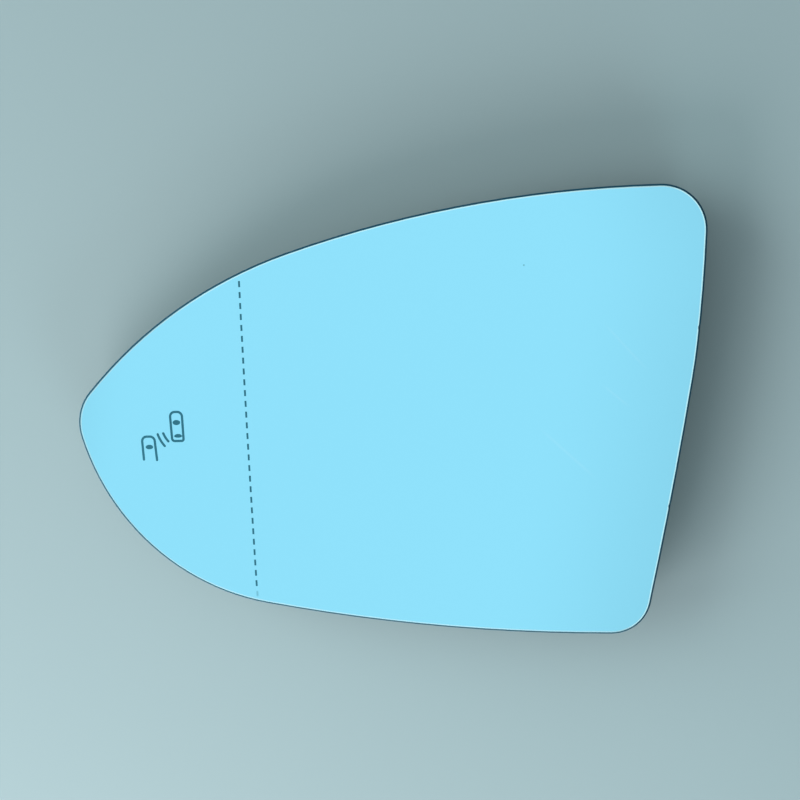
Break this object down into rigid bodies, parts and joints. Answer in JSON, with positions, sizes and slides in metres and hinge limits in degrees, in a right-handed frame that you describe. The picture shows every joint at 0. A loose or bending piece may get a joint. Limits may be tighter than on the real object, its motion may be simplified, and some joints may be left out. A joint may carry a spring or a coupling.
{
  "type": "car door mirror glass",
  "caption": "Blue-tinted door mirror glass with a bent outer zone, heated backing, blind-spot lamp and a clip ring for the adjuster.",
  "frame": {"origin": "middle of the clip ring's grip, on the ring's axis, where the adjuster's round holder sits", "axes": "+Z along the ring's axis, out of the reflecting face; +Y up as fitted on the car; +X towards the car"},
  "size_m": [0.185, 0.1295, 0.022],
  "materials": {
    "reflecting_face": "blue-tinted, first-surface polished",
    "marking_ink": "printed, teal",
    "copper_track": "etched copper foil",
    "amber_film": "clear amber film",
    "black_foam": "closed-cell foam, matt",
    "black_moulding": "fine-grained moulding",
    "spring_wire": "bright drawn wire",
    "tinned_brass": "tinned",
    "rivet_brass": "plain",
    "gasket_foam": "foam, matt",
    "milky_plastic": "milky, satin",
    "white_plastic": "satin white",
    "board_green": "green lacquer",
    "led_resin": "clear yellow resin",
    "resistor_black": "matt",
    "pin_metal": "tinned",
    "cover_plastic": "fine-grained moulding",
    "screw_steel": "zinc plated"
  },
  "bodies": {
    "root": {"mirror_glass": "reflecting_face", "zone_line": "marking_ink", "heater_track": "copper_track", "heater_film": "amber_film", "bond_pad": "black_foam", "carrier": "black_moulding", "retaining_spring": "spring_wire", "supply_terminal": "tinned_brass", "return_terminal": "tinned_brass", "terminal_rivets": "rivet_brass", "lamp_gasket": "gasket_foam", "lamp_diffuser": "milky_plastic", "lamp_reflector": "white_plastic", "lamp_board": "board_green", "lamp_leds": "led_resin", "lamp_resistors": "resistor_black", "lamp_pins": "pin_metal", "lamp_cover": "cover_plastic", "lamp_screws": "screw_steel"}
  },
  "joints": []
}
